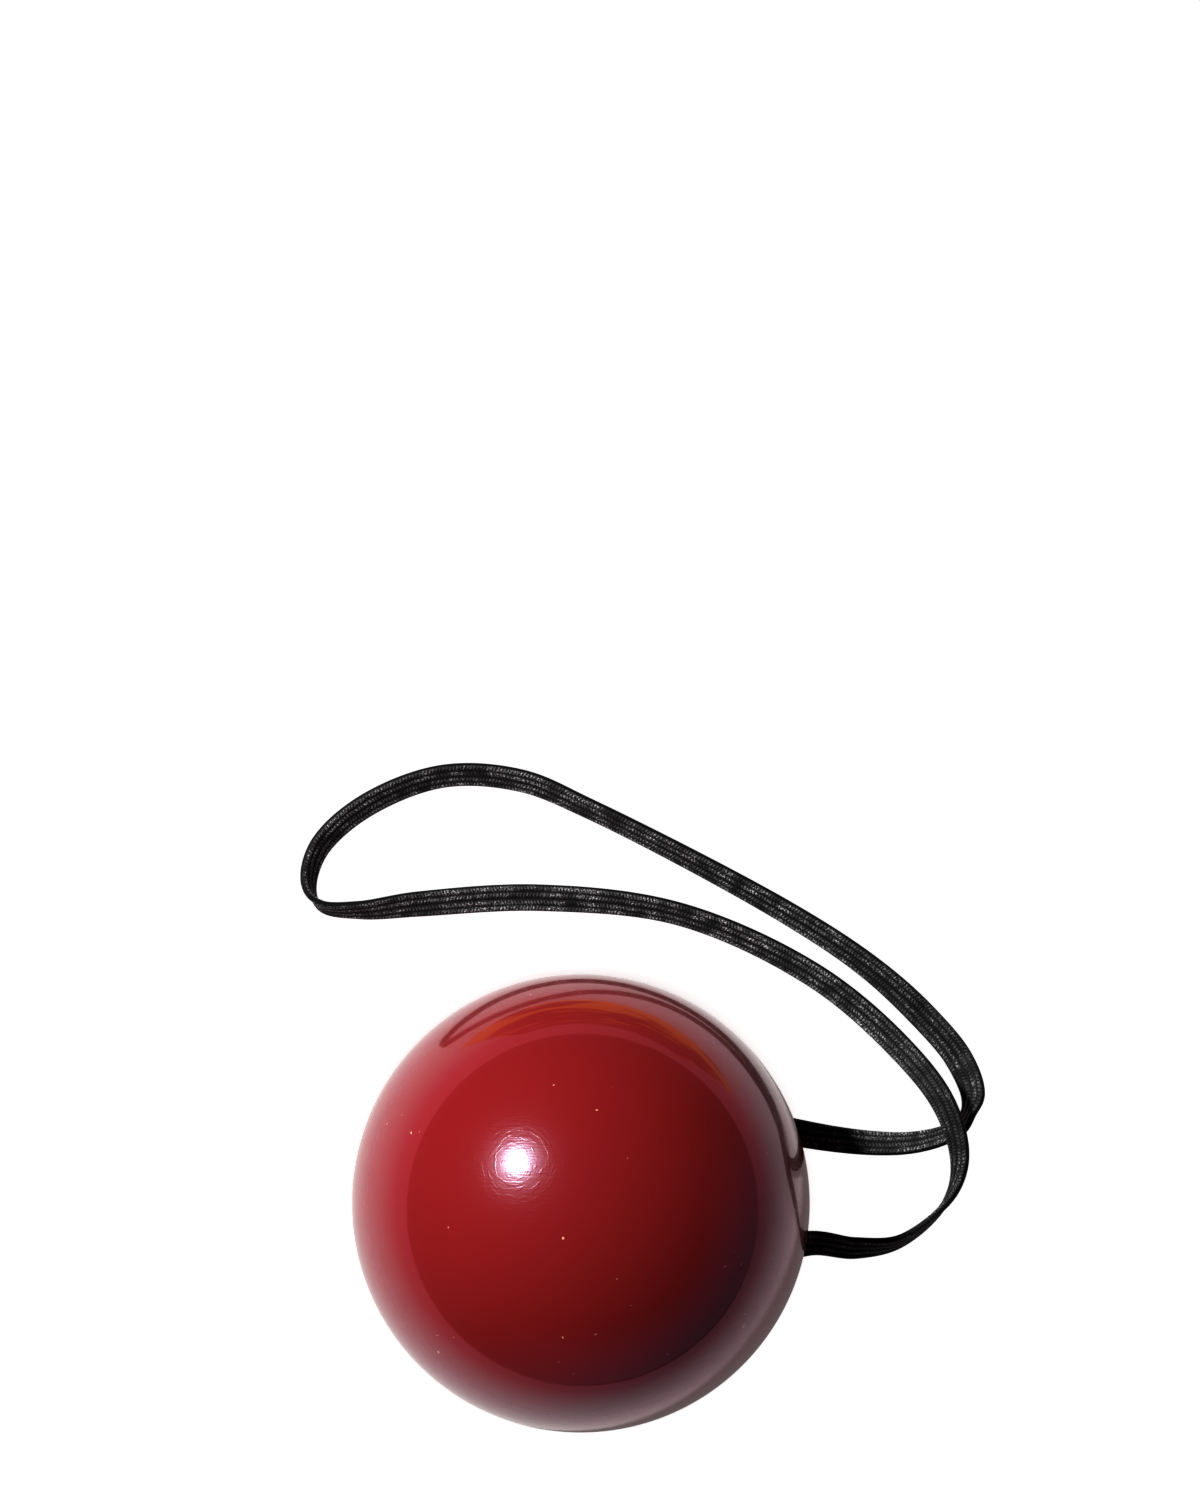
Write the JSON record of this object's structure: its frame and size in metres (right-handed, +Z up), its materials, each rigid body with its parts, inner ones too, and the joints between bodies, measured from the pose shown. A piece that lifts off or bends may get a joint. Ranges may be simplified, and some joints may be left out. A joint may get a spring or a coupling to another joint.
{
  "type": "clown nose",
  "caption": "Round glossy red clown nose, a hollow ball open at the back, on a thin loop of flat black elastic.",
  "frame": {"origin": "on the floor under the ball's centre, in the plane of the ball's back rim", "axes": "+Z up, towards the front of the nose; +X towards the arch in the rim, where both runs of the elastic leave the ball; +Y towards the far side of the loop"},
  "size_m": [0.0782, 0.0758, 0.039],
  "materials": {
    "red_plastic": "high gloss, smooth",
    "black_elastic": "braided flat elastic, matt"
  },
  "bodies": {
    "root": {"nose_ball": "red_plastic", "elastic_strap": "black_elastic", "strap_knot_1": "black_elastic", "strap_knot_2": "black_elastic"}
  },
  "joints": []
}
